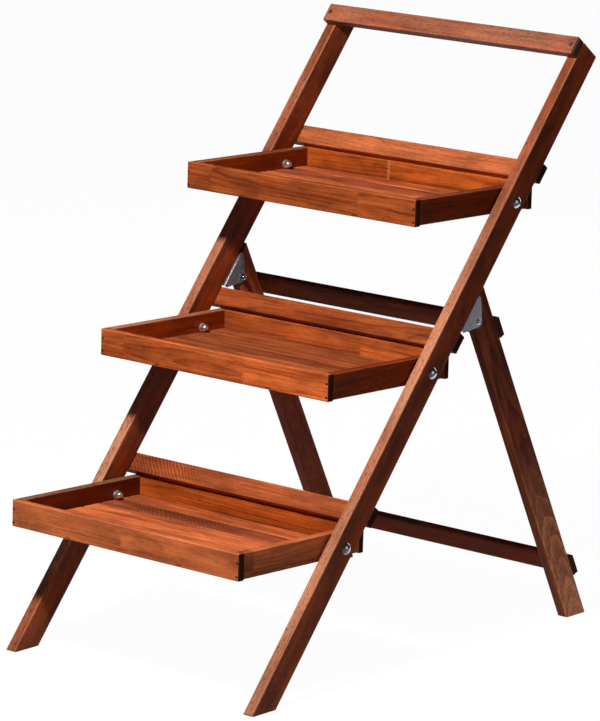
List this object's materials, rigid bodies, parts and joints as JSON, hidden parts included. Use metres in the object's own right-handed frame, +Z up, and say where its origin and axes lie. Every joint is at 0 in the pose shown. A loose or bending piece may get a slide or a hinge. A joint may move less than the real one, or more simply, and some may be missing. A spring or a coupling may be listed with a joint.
{
  "type": "plant ladder stand",
  "caption": "Folding wooden plant stand: leaning stiles carry a handle rail, back slats and shallow swinging trays, held up by a rear leg frame that swings on metal U-brackets.",
  "frame": {"origin": "on the floor, in the middle of the width and of the depth of the open stand", "axes": "+X to the viewer's right when facing the stand, +Y to the back, +Z up"},
  "size_m": [0.57, 0.8722, 1.0154],
  "materials": {
    "oiled_wood": "oiled, satin",
    "dark_wood": "stained dark, satin",
    "bright_zinc": "bright plated",
    "bracket_zinc": "zinc plated, satin",
    "dark_steel": "dark, dull"
  },
  "bodies": {
    "front_frame": {"stile_left": "oiled_wood", "stile_right": "oiled_wood", "top_rail": "oiled_wood", "back_slat_low": "oiled_wood", "back_slat_mid": "oiled_wood", "back_slat_top": "oiled_wood", "carriage_bolts": "bright_zinc", "tray_spacers": "bright_zinc", "nut_washers": "bright_zinc", "cap_nuts": "bright_zinc", "bracket_left": "bracket_zinc", "bracket_right": "bracket_zinc", "bracket_screws": "bracket_zinc", "hinge_bolts": "bright_zinc", "hinge_nuts": "bright_zinc", "rail_screws": "dark_steel", "back_slat_screws": "dark_steel"},
    "tray_low": {"tray_low_front": "oiled_wood", "tray_low_back": "oiled_wood", "tray_low_side_left": "oiled_wood", "tray_low_side_right": "oiled_wood", "tray_low_floor": "oiled_wood", "tray_low_battens": "oiled_wood", "tray_low_brads": "dark_steel", "tray_low_staples": "dark_steel"},
    "tray_mid": {"tray_mid_front": "oiled_wood", "tray_mid_back": "oiled_wood", "tray_mid_side_left": "oiled_wood", "tray_mid_side_right": "oiled_wood", "tray_mid_floor": "oiled_wood", "tray_mid_battens": "oiled_wood", "tray_mid_brads": "dark_steel", "tray_mid_staples": "dark_steel"},
    "tray_top": {"tray_top_front": "oiled_wood", "tray_top_back": "oiled_wood", "tray_top_side_left": "oiled_wood", "tray_top_side_right": "oiled_wood", "tray_top_floor": "oiled_wood", "tray_top_battens": "oiled_wood", "tray_top_brads": "dark_steel", "tray_top_staples": "dark_steel"},
    "leg_frame": {"leg_left": "dark_wood", "leg_right": "dark_wood", "cross_slat_low": "dark_wood", "cross_slat_high": "dark_wood", "cross_slat_screws": "dark_steel"}
  },
  "joints": [
    {"name": "tray_low_swing", "type": "hinge", "parent": "front_frame", "child": "tray_low", "pos_m": [0, -0.20168, 0.23599], "axis": [-1, 0, 0], "range_deg": [0, 122.5]},
    {"name": "tray_mid_swing", "type": "hinge", "parent": "front_frame", "child": "tray_mid", "pos_m": [0, 0.0098, 0.49483], "axis": [-1, 0, 0], "range_deg": [0, 122.5]},
    {"name": "tray_top_swing", "type": "hinge", "parent": "front_frame", "child": "tray_top", "pos_m": [0, 0.22129, 0.75367], "axis": [-1, 0, 0], "range_deg": [0, 122.5]},
    {"name": "leg_swing", "type": "hinge", "parent": "front_frame", "child": "leg_frame", "pos_m": [0, 0.12761, 0.56354], "axis": [-1, 0, 0], "range_deg": [0, 64.6]}
  ]
}
